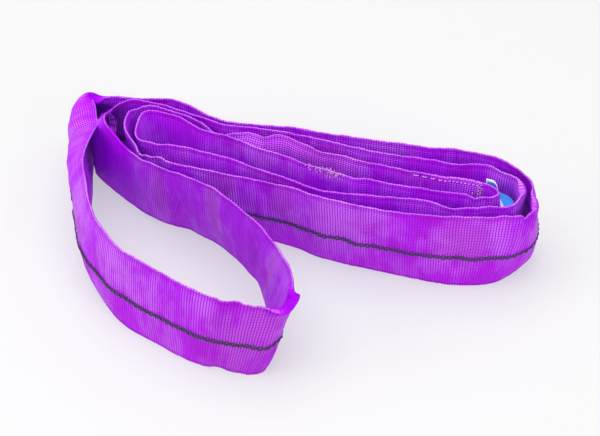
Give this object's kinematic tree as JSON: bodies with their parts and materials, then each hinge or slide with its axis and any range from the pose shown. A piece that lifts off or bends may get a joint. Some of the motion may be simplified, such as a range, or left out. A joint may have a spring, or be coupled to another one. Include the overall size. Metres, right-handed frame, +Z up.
{
  "type": "endless round sling",
  "caption": "Flat woven endless lifting sling wound into a hank and standing on its edge, with one open loop at the front and a label sewn in at the seam",
  "frame": {"origin": "the middle of the sling's footprint, on the surface it stands on", "axes": "+X along the wound hank towards its seam end, +Y from the open loop towards the back of the hank, +Z up, across the sleeve's flat width"},
  "size_m": [0.2965, 0.1668, 0.059],
  "materials": {
    "sleeve_weave": "ribbed polyester weave with a soft sheen",
    "core": "loose untwisted polyester yarn",
    "tape": "cloth tape",
    "tracer": "black polyester yarn",
    "thread": "bonded polyester thread",
    "label": "smooth coated label cloth",
    "label_thread": "polyester thread"
  },
  "bodies": {
    "sling": {"sleeve": "sleeve_weave", "core_yarn": "core", "core_binding_tape": "tape", "tracer_yarn": "tracer", "seam_needle_thread": "thread", "seam_bobbin_thread": "thread"},
    "label_flap": {"label": "label", "label_thread": "label_thread"}
  },
  "joints": [
    {"name": "label_hinge", "type": "hinge", "parent": "sling", "child": "label_flap", "pos_m": [0.1143, 0.0472, 0.0385], "axis": [0, 0, 1], "range_deg": [-5, 10], "stiffness_Nm_per_rad": 0.002}
  ]
}
